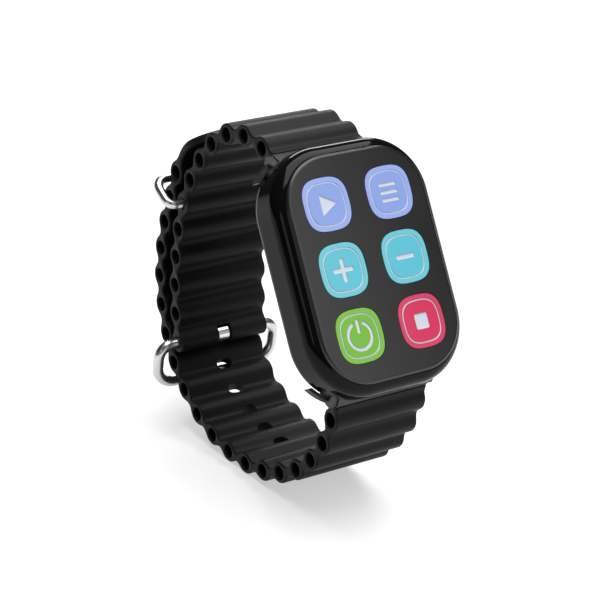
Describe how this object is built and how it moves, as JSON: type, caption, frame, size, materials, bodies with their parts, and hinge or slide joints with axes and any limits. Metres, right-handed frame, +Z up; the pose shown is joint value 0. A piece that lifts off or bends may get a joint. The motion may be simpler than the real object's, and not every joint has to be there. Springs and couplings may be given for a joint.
{
  "type": "wrist training remote",
  "caption": "Wrist-worn dog training remote: flat gloss case with coloured press keys on a ribbed rubber band buckled into a standing loop by wire rings.",
  "frame": {"origin": "centre of the footprint of the whole part, on the table that the loop stands on", "axes": "+Z up, +X across the band towards the right-hand keys, +Y from the key panel back towards the buckle; the panel leans back from the vertical"},
  "size_m": [0.0378, 0.0769, 0.0772],
  "materials": {
    "case_gloss": "polished black",
    "panel_gloss": "clear-edged gloss black",
    "cover_plastic": "fine satin grey",
    "lug_plastic": "satin black",
    "band_rubber": "matte black silicone",
    "seal_rubber": "matte grey",
    "pad_foam": "soft foam tape",
    "key_blue": "satin",
    "key_cyan": "satin",
    "key_green": "satin",
    "key_red": "satin",
    "ring_steel": "polished",
    "tongue_steel": "bright brushed",
    "screw_steel": "plain",
    "board_green": "solder mask on glass fibre",
    "chip_black": "moulded",
    "radio_can": "tinned can",
    "sounder_black": "moulded",
    "switch_white": "moulded",
    "plunger_brown": "moulded",
    "battery_foil": "silver pouch film",
    "contact_gold": "gold plated"
  },
  "bodies": {
    "case_and_band": {"front_housing": "case_gloss", "back_cover": "cover_plastic", "front_panel": "panel_gloss", "case_seal": "seal_rubber", "switch_program": "switch_white", "switch_mode": "switch_white", "switch_plus": "switch_white", "switch_minus": "switch_white", "switch_power": "switch_white", "switch_stop": "switch_white", "circuit_board": "board_green", "microcontroller": "chip_black", "radio_module": "radio_can", "antenna": "contact_gold", "sounder": "sounder_black", "battery": "battery_foil", "battery_pad": "pad_foam", "charge_pins": "contact_gold", "case_screws": "screw_steel", "lug_top": "lug_plastic", "lug_bottom": "lug_plastic", "strap_short": "band_rubber", "strap_long": "band_rubber"},
    "program_key": {"key_program": "key_blue", "plunger_program": "plunger_brown"},
    "mode_key": {"key_mode": "key_blue", "plunger_mode": "plunger_brown"},
    "plus_key": {"key_plus": "key_cyan", "plunger_plus": "plunger_brown"},
    "minus_key": {"key_minus": "key_cyan", "plunger_minus": "plunger_brown"},
    "power_key": {"key_power": "key_green", "plunger_power": "plunger_brown"},
    "stop_key": {"key_stop": "key_red", "plunger_stop": "plunger_brown"},
    "buckle": {"buckle_frame": "ring_steel"},
    "tongue": {"buckle_tongue": "tongue_steel"},
    "keeper": {"keeper_ring": "ring_steel"}
  },
  "joints": [
    {"name": "program_press", "type": "slide", "parent": "case_and_band", "child": "program_key", "axis": [0, 0.8686, -0.4955], "range_m": [0, 0.0003], "stiffness_N_per_m": 1500, "springref_m": -0.0003},
    {"name": "mode_press", "type": "slide", "parent": "case_and_band", "child": "mode_key", "axis": [0, 0.8686, -0.4955], "range_m": [0, 0.0003], "stiffness_N_per_m": 1500, "springref_m": -0.0003},
    {"name": "plus_press", "type": "slide", "parent": "case_and_band", "child": "plus_key", "axis": [0, 0.8686, -0.4955], "range_m": [0, 0.0003], "stiffness_N_per_m": 1500, "springref_m": -0.0003},
    {"name": "minus_press", "type": "slide", "parent": "case_and_band", "child": "minus_key", "axis": [0, 0.8686, -0.4955], "range_m": [0, 0.0003], "stiffness_N_per_m": 1500, "springref_m": -0.0003},
    {"name": "power_press", "type": "slide", "parent": "case_and_band", "child": "power_key", "axis": [0, 0.8686, -0.4955], "range_m": [0, 0.0003], "stiffness_N_per_m": 1500, "springref_m": -0.0003},
    {"name": "stop_press", "type": "slide", "parent": "case_and_band", "child": "stop_key", "axis": [0, 0.8686, -0.4955], "range_m": [0, 0.0003], "stiffness_N_per_m": 1500, "springref_m": -0.0003},
    {"name": "buckle_swing", "type": "hinge", "parent": "case_and_band", "child": "buckle", "pos_m": [0, 0.02806, 0.01976], "axis": [1, 0, 0], "range_deg": [0, 3]},
    {"name": "tongue_swing", "type": "hinge", "parent": "buckle", "child": "tongue", "pos_m": [0, 0.02806, 0.01976], "axis": [1, 0, 0], "range_deg": [0, 1.8]},
    {"name": "keeper_swing", "type": "hinge", "parent": "case_and_band", "child": "keeper", "pos_m": [0, 0.02722, 0.05289], "axis": [1, 0, 0], "range_deg": [-2, 2]}
  ]
}
